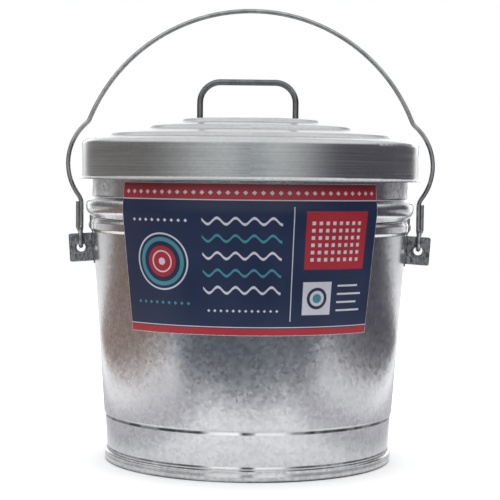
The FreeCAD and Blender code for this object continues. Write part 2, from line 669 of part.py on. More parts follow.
def half_bail(side):
    """The wire's edges on one side, from its free end round the eye to the arch's top."""

    def place(across, behind, up):
        return Vector(side * across, behind, up)

    leg = HOLE_MIDDLE.x
    eye = place(leg, 0, EYE_HEIGHT)
    back = place(leg, EYE_RADIUS, EYE_HEIGHT)
    under = place(leg, 0, EYE_HEIGHT - EYE_RADIUS)
    aside = leg + number("return_aside")
    behind = number("return_behind")
    free_end = [
        place(aside, behind, EYE_HEIGHT + number("return_length")),
        place(aside, behind, EYE_HEIGHT + number("return_high")),
        place(leg, EYE_RADIUS, EYE_HEIGHT + number("return_low")),
        back,
    ]
    neck_rise = math.sqrt(EYE_RADIUS ** 2 + 2 * EYE_RADIUS * NECK_RADIUS)
    neck = place(leg, -NECK_RADIUS, EYE_HEIGHT + neck_rise)
    neck_low = towards(eye, neck, EYE_RADIUS)
    leg_low = place(leg, 0, neck.z)

    bow = place(BOW_REACH - BOW_RADIUS, 0, BOW_HEIGHT)
    foot_across = leg + FOOT_RADIUS - (BOW_REACH - BOW_RADIUS)
    foot_drop = math.sqrt((BOW_RADIUS + FOOT_RADIUS) ** 2 - foot_across ** 2)
    foot = place(leg + FOOT_RADIUS, 0, BOW_HEIGHT - foot_drop)
    leg_high = place(leg, 0, foot.z)
    bow_low = towards(foot, bow, FOOT_RADIUS)

    lean = number("bail_lean")
    top = Vector(lean, 0, ARCH_HEIGHT + ARCH_RADIUS)
    arch_radius = ARCH_RADIUS - side * lean * number("bail_spread")
    arch = top - Vector(0, 0, arch_radius)
    kink = upper_meeting(bow, BOW_RADIUS + KINK_RADIUS, arch, arch_radius + KINK_RADIUS)
    bow_high = towards(kink, bow, KINK_RADIUS)
    arch_low = towards(kink, arch, KINK_RADIUS)
    return [
        *bent(free_end, NECK_RADIUS),
        arc(eye, back, under),
        arc(eye, under, neck_low),
        arc(neck, neck_low, leg_low),
        straight(leg_low, leg_high),
        arc(foot, leg_high, bow_low),
        arc(bow, bow_low, bow_high),
        arc(kink, bow_high, arch_low),
        arc(arch, arch_low, top),
    ]


bail_edges = half_bail(1)
bail_path = Part.Wire(Part.__sortEdges__(bail_edges + half_bail(-1)))
wire_end = bail_edges[0].Vertexes[0].Point
wire_section = Part.Wire([Part.Circle(wire_end, Z_AXIS, number("bail_radius")).toShape()])
bail = doc.addObject("Part::Feature", "bail_wire")
bail.Shape = bail_path.makePipeShell([wire_section], True, False)
finished(bail, "bail")

# ---------------------------------------------------------------------------------- the label
LABEL_HIGH = f"({LID_EDGE} - sheet - label_gap)"
label_line = line_sketch(
    "label_line",
    [
        (f"{wall('label_low')} + label_air", "label_low", None),
        (f"{wall(MAIN_CREST_HIGH)} + main_bead_depth + label_lift", MAIN_MIDDLE, "label_round"),
        (f"{wall(LABEL_HIGH)} + label_stand", LABEL_HIGH, None),
    ],
)
label_section = sheet_section("label_section", label_line, "label_sheet", RIGHT)
finished(turned("label_wrap", label_section, "label_angle", facing=-90), "label")

# ------------------------------------------------------------------------- check and write out
doc.recompute()
for item in doc.Objects:
    if {"Invalid", "Error"} & set(item.State):
        raise RuntimeError(f"{item.Name} is not up to date: {item.State}")
for item in parts:
    if item.Shape.isNull() or not item.Shape.isValid() or not item.Shape.Solids:
        raise RuntimeError(f"{item.Label} has no valid shape")

bail_volume = math.pi * number("bail_radius") ** 2 * bail_path.Length
print(f"bail: volume {bail.Shape.Volume:.1f}, its section times its length {bail_volume:.1f}")

os.makedirs("parts", exist_ok=True)
for item in parts:
    item.Shape.exportStep(f"parts/{item.Label}.step")
    box = item.Shape.BoundBox
    spans = " ".join(f"{low:.2f}..{high:.2f}" for low, high in (
        (box.XMin, box.XMax), (box.YMin, box.YMax), (box.ZMin, box.ZMax)))
    print(f"{item.Label}: {len(item.Shape.Solids)} solid(s), {item.Shape.Volume:.0f} mm3, {spans}")
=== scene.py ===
import math

import bpy
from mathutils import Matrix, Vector

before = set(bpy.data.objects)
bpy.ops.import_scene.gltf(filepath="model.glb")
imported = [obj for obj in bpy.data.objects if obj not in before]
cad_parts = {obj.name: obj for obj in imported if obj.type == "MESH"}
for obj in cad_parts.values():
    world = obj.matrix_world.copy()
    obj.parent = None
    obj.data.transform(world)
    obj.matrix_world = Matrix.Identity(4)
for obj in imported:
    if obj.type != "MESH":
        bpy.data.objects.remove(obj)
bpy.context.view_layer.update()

# --- The view ---------------------------------------------------------------------------
# The can is seen from the front and a little from above, its ears to left and right and its
# label towards the camera, from about 1.7 metres away with a long lens.
CAMERA_DISTANCE = 1.6905
CAMERA_HEIGHT = 0.2996
CAMERA_PITCH = math.radians(2.76)
CAMERA_ROLL = math.radians(0.64)
LENS = 115.9
SIDE_SHIFT = 0.001

camera_data = bpy.data.cameras.new("camera")
camera_data.lens = LENS
camera_data.shift_x = SIDE_SHIFT
camera = bpy.data.objects.new("camera", camera_data)
camera.location = (0, -CAMERA_DISTANCE, CAMERA_HEIGHT)
camera.rotation_mode = "XYZ"
camera.rotation_euler = (math.pi / 2 - CAMERA_PITCH, 0, 0)
camera.rotation_euler.rotate_axis("Z", CAMERA_ROLL)
bpy.context.scene.collection.objects.link(camera)
bpy.context.scene.camera = camera
bpy.context.scene.view_settings.view_transform = "Standard"


# --- The studio -------------------------------------------------------------------------
# A sheet of white paper lies under the can on a wide floor, with one soft box overhead. The
# metal mirrors the paper, the dim floor past its edges, and a room with a screen and windows.
def node(tree, kind, inputs=None, **settings):
    """A shader node with its settings, each input set to a value or linked to a socket."""
    made = tree.nodes.new(f"ShaderNode{kind}")
    for name, value in settings.items():
        setattr(made, name, value)
    for name, value in (inputs or {}).items():
        if isinstance(value, bpy.types.NodeSocket):
            tree.links.new(value, made.inputs[name])
        else:
            made.inputs[name].default_value = value
    return made


def maths(tree, operation, *values):
    """The result of a sum of one to three values or sockets."""
    return node(tree, "Math", dict(enumerate(values)), operation=operation).outputs[0]


def mixed(tree, factor, first, second):
    """The colour between two colours."""
    return node(tree, "Mix", {0: factor, 6: first, 7: second}, data_type="RGBA").outputs[2]


def ramped(tree, value, low, high, to_low=0.0, to_high=1.0):
    """A value stretched from one range to another, eased and held at its ends."""
    stretch = {"Value": value, "From Min": low, "From Max": high, "To Min": to_low, "To Max": to_high}
    return node(tree, "MapRange", stretch, interpolation_type="SMOOTHSTEP").outputs["Result"]


def split(tree, vector):
    """The X, Y and Z of a vector, as sockets."""
    return node(tree, "SeparateXYZ", {0: vector}).outputs


def from_axis(tree, spot):
    """How far a place is from the can's upright axis."""
    across = maths(tree, "MULTIPLY", spot["X"], spot["X"])
    return maths(tree, "SQRT", maths(tree, "MULTIPLY_ADD", spot["Y"], spot["Y"], across))


def from_front(tree, spot):
    """The turn from the front to a place, in radians, positive to the right."""
    return maths(tree, "ARCTAN2", spot["X"], maths(tree, "MULTIPLY", spot["Y"], -1.0))


def new_finish(name):
    """A new material, its node tree and the inputs of its shader."""
    material = bpy.data.materials.new(name)
    material.use_nodes = True
    return material, material.node_tree, material.node_tree.nodes["Principled BSDF"].inputs


FLOOR_REACH = 3.2
CORNERS = ((-1, -1), (1, -1), (1, 1), (-1, 1))
PAPER_FRONT = -0.395
PAPER_SIDE = 0.52
PAPER_FADE = 0.05
PAPER_BACK = 0.85
PAPER_BACK_FADE = 0.30
PAPER_ROUGHNESS = 0.9
PAPER_WHITE = (0.93, 0.93, 0.93, 1)
PAPER_MIRRORED = (0.91, 0.91, 0.92, 1)
PAPER_SHADED = (0.44, 0.435, 0.46, 1)
# the band of shade on the paper to each side of the can: where it begins and where it ends
SHADE_BEGINS = (0.15, 0.25)
SHADE_ENDS = (0.44, 0.34)
DIM_LEFT = (0.20, 0.14, 0.115, 1)
DIM_FRONT = (0.050, 0.060, 0.082, 1)
DIM_RIGHT = (0.050, 0.046, 0.060, 1)
# the paper as the camera sees it glows to white, but less near the can's foot
GLOW = 0.6
GLOW_GROWS = (0.14, 0.42)
GLOW_AT_FOOT = 0.12

floor_mesh = bpy.data.meshes.new("floor")
floor_mesh.from_pydata([(x * FLOOR_REACH, y * FLOOR_REACH, 0) for x, y in CORNERS], [], [(0, 1, 2, 3)])
floor = bpy.data.objects.new("floor", floor_mesh)
bpy.context.scene.collection.objects.link(floor)

pale_floor, tree, paper = new_finish("pale_floor")
paper["Roughness"].default_value = PAPER_ROUGHNESS
spot = split(tree, node(tree, "TexCoord").outputs["Object"])
beyond_front = ramped(tree, spot["Y"], PAPER_FRONT, PAPER_FRONT - PAPER_FADE)
beyond_left = ramped(tree, spot["X"], -PAPER_SIDE, -PAPER_SIDE - PAPER_FADE)
beyond_right = ramped(tree, spot["X"], PAPER_SIDE, PAPER_SIDE + PAPER_FADE)
before_back = ramped(tree, spot["Y"], PAPER_BACK + PAPER_BACK_FADE, PAPER_BACK)
aside = maths(tree, "ABSOLUTE", spot["X"])
shade = maths(tree, "MULTIPLY", ramped(tree, aside, *SHADE_BEGINS), ramped(tree, aside, *SHADE_ENDS))
mirrored_floor = mixed(tree, shade, PAPER_MIRRORED, PAPER_SHADED)
mirrored_floor = mixed(tree, maths(tree, "MULTIPLY", beyond_left, before_back), mirrored_floor, DIM_LEFT)
mirrored_floor = mixed(tree, maths(tree, "MULTIPLY", beyond_right, before_back), mirrored_floor, DIM_RIGHT)
mirrored_floor = mixed(tree, beyond_front, mirrored_floor, DIM_FRONT)
floor_seen = node(tree, "LightPath").outputs["Is Camera Ray"]
tree.links.new(mixed(tree, floor_seen, mirrored_floor, PAPER_WHITE), paper["Base Color"])
away = ramped(tree, from_axis(tree, spot), *GLOW_GROWS, GLOW_AT_FOOT, 1.0)
glow = maths(tree, "MULTIPLY", floor_seen, away)
tree.links.new(mixed(tree, glow, (0, 0, 0, 1), PAPER_WHITE), paper["Emission Color"])
paper["Emission Strength"].default_value = GLOW
floor_mesh.materials.append(pale_floor)

SOFT_BOX_PLACE = (0, 0.15, 2.0)
SOFT_BOX_AIM = (0, 0.1, 0)
SOFT_BOX_WIDTH = 2.4
SOFT_BOX_DEPTH = 1.8
SOFT_BOX_POWER = 38

soft_box = bpy.data.lights.new("overhead", "AREA")
soft_box.shape = "RECTANGLE"
soft_box.size = SOFT_BOX_WIDTH
soft_box.size_y = SOFT_BOX_DEPTH
soft_box.energy = SOFT_BOX_POWER
lamp = bpy.data.objects.new("overhead", soft_box)
lamp.location = SOFT_BOX_PLACE
lamp.rotation_euler = (Vector(SOFT_BOX_AIM) - Vector(SOFT_BOX_PLACE)).to_track_quat("-Z", "Y").to_euler()
lamp.visible_glossy = False
bpy.context.scene.collection.objects.link(lamp)

# the room that the metal mirrors: dim sides, a white wall behind with a bright window at each
# end, and in front a pale screen with a gap for the camera
LEFT_SIDE = (0.22, 0.21, 0.205, 1)
RIGHT_SIDE = (0.11, 0.105, 0.125, 1)
BACK_WALL = (1.25, 1.25, 1.28, 1)
SCREEN = (0.72, 0.74, 0.74, 1)
CAMERA_GAP = (0.46, 0.49, 0.51, 1)
LEFT_WINDOW = (1.85, 1.85, 1.85, 1)
RIGHT_WINDOW = (2.40, 2.40, 2.40, 1)
CEILING = (0.95, 0.95, 0.96, 1)
WHITE = (1, 1, 1, 1)
# where the ceiling takes over from the walls, by the sine of the angle above eye level
CEILING_BEGINS = (0.24, 0.58)
# where the back wall and the sides meet, and the two sides, in degrees from the front
BACK_BEGINS = (142, 157)
SIDES_MEET = (-15, 15)
# where each thing stands, in degrees from the front to the right: where it starts and is
# full, and where it fades and is gone
SCREEN_STANDS = (-76, -14, 14, 64)
GAP_STANDS = (-12, -4, -1, 20)
LEFT_WINDOW_STANDS = (-178, -165, -157, -141)
RIGHT_WINDOW_STANDS = (142, 157, 164, 178)


def stands(tree, bearing, start, full, fades, gone):
    """How much of a thing in the room shows on a bearing, soft at both of its edges."""
    return maths(tree, "MULTIPLY", ramped(tree, bearing, start, full), ramped(tree, bearing, gone, fades))


world = bpy.data.worlds.new("studio")
world.use_nodes = True
bpy.context.scene.world = world
room = world.node_tree
room.nodes.clear()
way = split(room, node(room, "TexCoord").outputs["Generated"])
bearing = maths(room, "MULTIPLY", from_front(room, way), math.degrees(1.0))
behind = ramped(room, maths(room, "ABSOLUTE", bearing), *BACK_BEGINS)
around = mixed(room, ramped(room, bearing, *SIDES_MEET), LEFT_SIDE, RIGHT_SIDE)
around = mixed(room, behind, around, BACK_WALL)
around = mixed(room, stands(room, bearing, *SCREEN_STANDS), around, SCREEN)
around = mixed(room, stands(room, bearing, *GAP_STANDS), around, CAMERA_GAP)
around = mixed(room, stands(room, bearing, *LEFT_WINDOW_STANDS), around, LEFT_WINDOW)
around = mixed(room, stands(room, bearing, *RIGHT_WINDOW_STANDS), around, RIGHT_WINDOW)
around = mixed(room, ramped(room, way["Z"], *CEILING_BEGINS), around, CEILING)
mirrored_room = node(room, "Background", {"Color": around}).outputs[0]
white_room = node(room, "Background", {"Color": WHITE}).outputs[0]
room_seen = node(room, "LightPath").outputs["Is Camera Ray"]
surroundings = node(room, "MixShader", {0: room_seen, 1: mirrored_room, 2: white_room})
node(room, "OutputWorld", {"Surface": surroundings.outputs[0]})


# --- The can's wall ---------------------------------------------------------------------
# One sheet of hot-dip galvanized steel, rolled into a cone and locked up the back, with its
# beads and its foot pressed in. The zinc froze in small crystals, each with its own tilt.
def node_group(name, values, results):
    """An empty node group with number inputs and typed outputs, and its two end nodes."""
    group = bpy.data.node_groups.new(name, "ShaderNodeTree")
    for label, value in values.items():
        socket = group.interface.new_socket(label, in_out="INPUT", socket_type="NodeSocketFloat")
        socket.default_value = value
    for label, kind in results.items():
        group.interface.new_socket(label, in_out="OUTPUT", socket_type=f"NodeSocket{kind}")
    given = group.nodes.new("NodeGroupInput").outputs
    return group, given, group.nodes.new("NodeGroupOutput").inputs


def noise(tree, place, per_metre, detail, rough=0.5):
    """Random soft patches, so many to a metre."""
    patches = {"Vector": place, "Scale": per_metre, "Detail": detail, "Roughness": rough}
    return node(tree, "TexNoise", patches).outputs[0]


def blended(tree, first, first_share, second, second_share):
    """The sum of a share of each of two values."""
    return maths(tree, "MULTIPLY_ADD", first, first_share, maths(tree, "MULTIPLY", second, second_share))


def vectors(tree, operation, inputs):
    """The result of a sum of vectors."""
    return node(tree, "VectorMath", inputs, operation=operation).outputs[0]


# a noise stretched from the first span keeps nearly all its tones, and from the second it
# turns into patches
NOISE_SPAN = (0.3, 0.7)
PATCH_SPAN = (0.35, 0.6)
WALL_CRYSTAL = 0.0034
WALL_TILT = 0.024
WALL_ROUGHNESS = (0.17, 0.215)
CRYSTAL_ROUGHNESS = 0.06
CRYSTAL_SPAN = (0.1, 0.8)
RAGGED_PER_METRE = 420.0
RAGGED_BY = 0.0022
GRAIN_PER_METRE = 650.0
CRYSTAL_SHARE = 0.6
GRAIN_SHARE = 0.4
BLOTCHES_PER_METRE = 16.0
WALL_DARK = (0.53, 0.54, 0.55, 1)
WALL_LIGHT = (0.66, 0.665, 0.675, 1)


def spangle_group():
    """Zinc crystals: a tone and a tilted normal for each, and wide soft blotches."""
    results = {"Tone": "Float", "Blotch": "Float", "Normal": "Vector"}
    values = {"Crystal": WALL_CRYSTAL, "Tilt": WALL_TILT}
    group, given, result = node_group("zinc_spangle", values, results)
    place = node(group, "TexCoord").outputs["Object"]
    wander = node(group, "TexNoise", {"Vector": place, "Scale": RAGGED_PER_METRE, "Detail": 2.0})
    ragged = vectors(group, "MULTIPLY_ADD", {0: wander.outputs["Color"], 1: (RAGGED_BY,) * 3, 2: place})
    per_metre = maths(group, "DIVIDE", 1.0, given["Crystal"])
    crystals = node(group, "TexVoronoi", {"Vector": ragged, "Scale": per_metre}).outputs["Color"]
    grain = noise(group, place, GRAIN_PER_METRE, 3.0)
    tone = blended(group, split(group, crystals)["X"], CRYSTAL_SHARE, grain, GRAIN_SHARE)
    centred = vectors(group, "SUBTRACT", {0: crystals, 1: (0.5, 0.5, 0.5)})
    tilt = vectors(group, "SCALE", {0: centred, "Scale": given["Tilt"]})
    leaning = vectors(group, "ADD", {0: node(group, "NewGeometry").outputs["Normal"], 1: tilt})
    group.links.new(tone, result["Tone"])
    group.links.new(noise(group, place, BLOTCHES_PER_METRE, 4.0, 0.6), result["Blotch"])
    group.links.new(vectors(group, "NORMALIZE", {0: leaning}), result["Normal"])
    return group


# a crease has a painted highlight to this turn each side of the front, but for a painted dark gap
# at its middle
HIGHLIGHT_TURN = 0.33
HIGHLIGHT_FADE = 0.12
HIGHLIGHT_GAP = (0.02, 0.07)
CREASE_PATCHES_PER_METRE = 45.0
CREASE_THINNEST = 0.6
CREASE_SOFT = 0.6
# neither dirt nor painted shade lies nearer to the can's axis than the inside of the base fold
FOLD_INSIDE = 0.142
FOLD_FADE = 0.002


def crease_group():
    """A crease round the can at one height: dark with dirt and painted shade, with a painted highlight in
    front.
    """
    values = {"Height": 0.05, "Spread": 0.001, "Highlight turn": HIGHLIGHT_TURN}
    group, given, result = node_group("crease", values, {"Mask": "Float", "Bright": "Float"})
    place = node(group, "TexCoord").outputs["Object"]
    spot = split(group, place)
    away = maths(group, "ABSOLUTE", maths(group, "SUBTRACT", spot["Z"], given["Height"]))
    near = maths(group, "SUBTRACT", 1.0, maths(group, "DIVIDE", away, given["Spread"]))
    patchy = noise(group, place, CREASE_PATCHES_PER_METRE, 3.0)
    patchy = ramped(group, patchy, *PATCH_SPAN, CREASE_THINNEST, 1.0)
    mask = maths(group, "MULTIPLY", ramped(group, near, 0.0, CREASE_SOFT), patchy)
    outside = ramped(group, from_axis(group, spot), FOLD_INSIDE, FOLD_INSIDE + FOLD_FADE)
    aside = maths(group, "ABSOLUTE", from_front(group, spot))
    # the painted highlight: full in front to the given turn, fading past it, and dark at the very middle
    wear_and_highlight = ramped(group, maths(group, "SUBTRACT", given["Highlight turn"], aside), 0.0, HIGHLIGHT_FADE)
    painted_highlight = maths(group, "MULTIPLY", wear_and_highlight, ramped(group, aside, *HIGHLIGHT_GAP))
    group.links.new(maths(group, "MULTIPLY", mask, outside), result["Mask"])
    group.links.new(painted_highlight, result["Bright"])
    return group


SPANGLE = spangle_group()
CREASE = crease_group()
# the dark of dirt and painted shade in a crease, and the colour of its painted highlight
CREASE_DIRT_AND_SHADE = (0.030, 0.030, 0.033, 1)
CREASE_HIGHLIGHT = (0.95, 0.95, 0.95, 1)
# height and spread of each crease darkened with dirt and painted shade, and how much: under
# the step above the foot, just over the base fold, and between the two beads
WALL_CREASES = ((0.0475, 0.0021, 0.97), (0.0138, 0.0014, 0.9), (0.2508, 0.002, 0.45))


def creased(tree, colour, creases):
    """A colour with dirt, painted shade and a painted highlight in its creases."""
    for height, spread, weight in creases:
        line = node(tree, "Group", {"Height": height, "Spread": spread}, node_tree=CREASE).outputs
        inside = mixed(tree, line["Bright"], CREASE_DIRT_AND_SHADE, CREASE_HIGHLIGHT)
        colour = mixed(tree, maths(tree, "MULTIPLY", line["Mask"], weight), colour, inside)
    return colour


def dress(material, *names):
    """Give CAD pieces a finish."""
    for name in names:
        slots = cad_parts[name].data.materials
        slots.clear()
        slots.append(material)


galvanized_wall, tree, steel = new_finish("galvanized_wall")
zinc = node(tree, "Group", {"Crystal": WALL_CRYSTAL, "Tilt": WALL_TILT}, node_tree=SPANGLE).outputs
colour = mixed(tree, ramped(tree, zinc["Tone"], *CRYSTAL_SPAN), WALL_DARK, WALL_LIGHT)
tree.links.new(creased(tree, colour, WALL_CREASES), steel["Base Color"])
dull = ramped(tree, zinc["Blotch"], *NOISE_SPAN, *WALL_ROUGHNESS)
tree.links.new(maths(tree, "MULTIPLY_ADD", zinc["Tone"], CRYSTAL_ROUGHNESS, dull), steel["Roughness"])
tree.links.new(zinc["Normal"], steel["Normal"])
steel["Metallic"].default_value = 1.0
dress(galvanized_wall, "body_shell")


# --- The rim's wire ---------------------------------------------------------------------
# Drawn and galvanized steel wire that the upper edge of the wall is rolled round. The roll
# hides it, and it has the bail wire's finish.
PATCHES_PER_METRE = 70.0
DRAWN_ROUGHNESS = 0.36
DRAWN_POLISH = -0.1
DRAWN_BUMP = 0.5
DRAWN_THINNEST = 0.55
# how far the surface of a wire or rod turns away where its painted shade is full, and where it ends
TURNED_AWAY = (0.70, 0.28)


def drawn_group():
    """Zinc on drawn wire or rod: fine pits, and soft patches where the coat is thicker."""
    group, given, result = node_group("drawn_zinc", {"Pit": 0.0012}, {"Tone": "Float", "Height": "Float"})
    place = node(group, "TexCoord").outputs["Object"]
    pits = noise(group, place, maths(group, "DIVIDE", 1.0, given["Pit"]), 3.0)
    patches = noise(group, place, PATCHES_PER_METRE, 2.0)
    group.links.new(blended(group, pits, 0.5, patches, 0.5), result["Tone"])
    group.links.new(pits, result["Height"])
    return group


DRAWN = drawn_group()


def drawn_metal(name, dark, light, pit, relief):
    """The finish of a drawn and zinc-coated wire or rod, with painted shade where it turns away."""
    material, tree, steel = new_finish(name)
    coat = node(tree, "Group", {"Pit": pit}, node_tree=DRAWN).outputs
    tone = ramped(tree, coat["Tone"], *NOISE_SPAN)
    facing = node(tree, "LayerWeight", {"Blend": 0.5}).outputs["Facing"]
    thick = ramped(tree, tone, 0.0, 1.0, DRAWN_THINNEST, 1.0)
    shaded = maths(tree, "MULTIPLY", thick, ramped(tree, facing, *TURNED_AWAY))
    tree.links.new(mixed(tree, shaded, dark, light), steel["Base Color"])
    tree.links.new(maths(tree, "MULTIPLY_ADD", tone, DRAWN_POLISH, DRAWN_ROUGHNESS), steel["Roughness"])
    bump = node(tree, "Bump", {"Strength": DRAWN_BUMP, "Distance": relief, "Height": coat["Height"]})
    tree.links.new(bump.outputs[0], steel["Normal"])
    steel["Metallic"].default_value = 1.0
    return material


WIRE_DARK = (0.05, 0.051, 0.053, 1)
WIRE_LIGHT = (0.58, 0.583, 0.59, 1)

wire = drawn_metal("wire", WIRE_DARK, WIRE_LIGHT, pit=0.0011, relief=0.0002)
dress(wire, "rim_wire")


# --- The raised bottom ------------------------------------------------------------------
# A pressed disc of galvanized sheet whose edge is folded outwards round the wall's foot. It
# stands on that fold, which is darker in patches near the floor and has dirt, painted shade and
# a painted highlight in its creases, and the press left faint rings in it.
BASE_RING = 0.0012
ROUND_THE_AXIS = 1.5


def turning_group():
    """Fine rings about the can's axis, as a spinning or pressing tool leaves them."""
    group, given, result = node_group("turning_rings", {"Ring": BASE_RING}, {"Rings": "Float"})
    spot = split(group, node(group, "TexCoord").outputs["Object"])
    turn = maths(group, "ARCTAN2", spot["X"], spot["Y"])
    per_metre = maths(group, "DIVIDE", 1.0, given["Ring"])
    out_up_and_round = {
        0: maths(group, "MULTIPLY", from_axis(group, spot), per_metre),
        1: maths(group, "MULTIPLY", spot["Z"], per_metre),
        2: maths(group, "MULTIPLY", turn, ROUND_THE_AXIS),
    }
    along = node(group, "CombineXYZ", out_up_and_round).outputs[0]
    group.links.new(noise(group, along, 1.0, 3.0), result["Rings"])
    return group


TURNING = turning_group()
BASE_TILT = 0.02
BASE_ROUGHNESS = (0.16, 0.26)
BASE_DARK = (0.50, 0.505, 0.515, 1)
BASE_LIGHT = (0.66, 0.665, 0.675, 1)
BASE_BUMP = 0.25
BASE_RELIEF = 0.0002
# darker and rougher in patches within the lowest few millimetres of the fold, where it stands on the floor
FLOOR_EDGE_DARK = (0.10, 0.098, 0.095, 1)
FLOOR_EDGE_TOP = 0.0030
FLOOR_EDGE_ROUGHNESS = 0.25
FLOOR_EDGE_THINNEST = 0.5
# height, spread and weight of the base fold's creases, darkened with dirt and painted shade, with a painted
# highlight in front
FOLD_CREASES = ((0.0118, 0.0016, 0.8), (0.0066, 0.0022, 0.45))

galvanized_base, tree, steel = new_finish("galvanized_base")
zinc = node(tree, "Group", {"Crystal": WALL_CRYSTAL, "Tilt": BASE_TILT}, node_tree=SPANGLE).outputs
rings = node(tree, "Group", {"Ring": BASE_RING}, node_tree=TURNING).outputs["Rings"]
colour = mixed(tree, ramped(tree, zinc["Tone"], *CRYSTAL_SPAN), BASE_DARK, BASE_LIGHT)
height = split(tree, node(tree, "TexCoord").outputs["Object"])["Z"]
at_floor = ramped(tree, height, FLOOR_EDGE_TOP, 0.0)
darker_at_floor = maths(tree, "MULTIPLY", at_floor, ramped(tree, zinc["Blotch"], *PATCH_SPAN, FLOOR_EDGE_THINNEST, 1.0))
tree.links.new(mixed(tree, darker_at_floor, creased(tree, colour, FOLD_CREASES), FLOOR_EDGE_DARK), steel["Base Color"])
dull = ramped(tree, rings, *NOISE_SPAN, *BASE_ROUGHNESS)
tree.links.new(maths(tree, "MULTIPLY_ADD", darker_at_floor, FLOOR_EDGE_ROUGHNESS, dull), steel["Roughness"])
pressed = {"Strength": BASE_BUMP, "Distance": BASE_RELIEF, "Height": rings, "Normal": zinc["Normal"]}
tree.links.new(node(tree, "Bump", pressed).outputs[0], steel["Normal"])
steel["Metallic"].default_value = 1.0
dress(galvanized_base, "bottom_pan")

# --- The ears ---------------------------------------------------------------------------
# Two brackets of stamped strip, each folded double into a fin with a hole for the bail, and
# riveted to the wall. The strip is brushed, and dark where the wire has rubbed it.
EAR_DARK = (0.15, 0.152, 0.158, 1)
EAR_LIGHT = (0.60, 0.605, 0.615, 1)
EAR_RUBBED = (0.05, 0.05, 0.052, 1)
EAR_ROUGHNESS = (0.42, 0.26)
EAR_BUMP = 0.4
EAR_RELIEF = 0.0002
EAR_SHINE_SPAN = (0.35, 0.65)
BRUSHED_PER_METRE = 1500.0
BRUSHED_WAY = (1.0, 1.0, 0.12)
STAINS_PER_METRE = 190.0
WIRE_RUBS = (0.52, 0.68)
WIRE_RUBS_MOST = 0.8

ear_steel, tree, steel = new_finish("ear_steel")
place = node(tree, "TexCoord").outputs["Object"]
drawn_out = node(tree, "Mapping", {"Vector": place, "Scale": BRUSHED_WAY}).outputs[0]
brushed = noise(tree, drawn_out, BRUSHED_PER_METRE, 2.0)
stained = noise(tree, place, STAINS_PER_METRE, 4.0)
shine = blended(tree, brushed, 0.5, stained, 0.5)
colour = mixed(tree, ramped(tree, shine, *EAR_SHINE_SPAN), EAR_DARK, EAR_LIGHT)
wear_and_highlight = ramped(tree, stained, *WIRE_RUBS, 0.0, WIRE_RUBS_MOST)
tree.links.new(mixed(tree, wear_and_highlight, colour, EAR_RUBBED), steel["Base Color"])
tree.links.new(ramped(tree, shine, *NOISE_SPAN, *EAR_ROUGHNESS), steel["Roughness"])
bump = node(tree, "Bump", {"Strength": EAR_BUMP, "Distance": EAR_RELIEF, "Height": shine})
tree.links.new(bump.outputs[0], steel["Normal"])
steel["Metallic"].default_value = 1.0
dress(ear_steel, "left_ear", "right_ear")

# --- The ears' rivets -------------------------------------------------------------------
# Two zinc-plated steel rivets through each ear and the wall, domed outside by the rivet set
# and flattened inside the can.
RIVET_DARK = (0.42, 0.42, 0.43, 1)
RIVET_LIGHT = (0.72, 0.72, 0.73, 1)

rivet_steel = drawn_metal("rivet_steel", RIVET_DARK, RIVET_LIGHT, pit=0.0008, relief=0.0001)
dress(rivet_steel, "left_ear_rivets", "right_ear_rivets")

# --- The label --------------------------------------------------------------------------
# A wrap of coated paper, printed in navy, red, teal and white with plain shapes: strips of
# diamonds, rings, waves and a checked panel. Its edges are bare paper, a little worn.
MM_PER_METRE = 1000.0
# in millimetres: the radius that the label's width is measured at, half that width, the
# height of its foot above the floor, and its own height
LABEL_ROUND = 162.0
LABEL_HALF = 131.0
LABEL_FOOT = 143.3
LABEL_TOP = 145.9
NAVY = (0.012, 0.026, 0.078, 1)
RED = (0.47, 0.024, 0.038, 1)
TEAL = (0.070, 0.290, 0.360, 1)
PALE = (0.72, 0.71, 0.78, 1)
PRINT_BLUR = 0.25


def print_group(name, values, measure):
    """A printed shape, from how far inside it a place lies, in millimetres."""
    group, given, result = node_group(name, {"Across": 0.0, "Up": 0.0, **values}, {"Mask": "Float"})
    inside = measure(group, given)
    group.links.new(ramped(group, inside, -PRINT_BLUR, PRINT_BLUR), result["Mask"])
    return group


def box_measure(group, given):
    """A plain rectangle."""
    from_left = maths(group, "SUBTRACT", given["Across"], given["Left"])
    from_right = maths(group, "SUBTRACT", given["Right"], given["Across"])
    from_low = maths(group, "SUBTRACT", given["Up"], given["Low"])
    from_high = maths(group, "SUBTRACT", given["High"], given["Up"])
    sideways = maths(group, "MINIMUM", from_left, from_right)
    return maths(group, "MINIMUM", sideways, maths(group, "MINIMUM", from_low, from_high))


def line_measure(group, given, off):
    """A line of a given width, from how far off its middle a place lies."""
    return maths(group, "SUBTRACT", maths(group, "MULTIPLY", given["Width"], 0.5), off)


def ring_measure(group, given):
    """A ring, or a disc where its radius is nought."""
    aside = maths(group, "SUBTRACT", given["Across"], given["Middle"])
    above = maths(group, "SUBTRACT", given["Up"], given["Height"])
    squared = maths(group, "MULTIPLY_ADD", aside, aside, maths(group, "MULTIPLY", above, above))
    off = maths(group, "ABSOLUTE", maths(group, "SUBTRACT", maths(group, "SQRT", squared), given["Radius"]))
    return line_measure(group, given, off)


def wave_measure(group, given):
    """A line that waves up and down."""
    phase = maths(group, "MULTIPLY", maths(group, "DIVIDE", given["Across"], given["Length"]), math.tau)
    crest = maths(group, "MULTIPLY_ADD", maths(group, "SINE", phase), given["Swing"], given["Height"])
    off = maths(group, "ABSOLUTE", maths(group, "SUBTRACT", given["Up"], crest))
    return line_measure(group, given, off)


def off_pitch(group, along, pitch):
    """How far a place is from the nearest of a row of places."""
    step = maths(group, "FLOORED_MODULO", along, pitch)
    return maths(group, "ABSOLUTE", maths(group, "SUBTRACT", step, maths(group, "MULTIPLY", pitch, 0.5)))


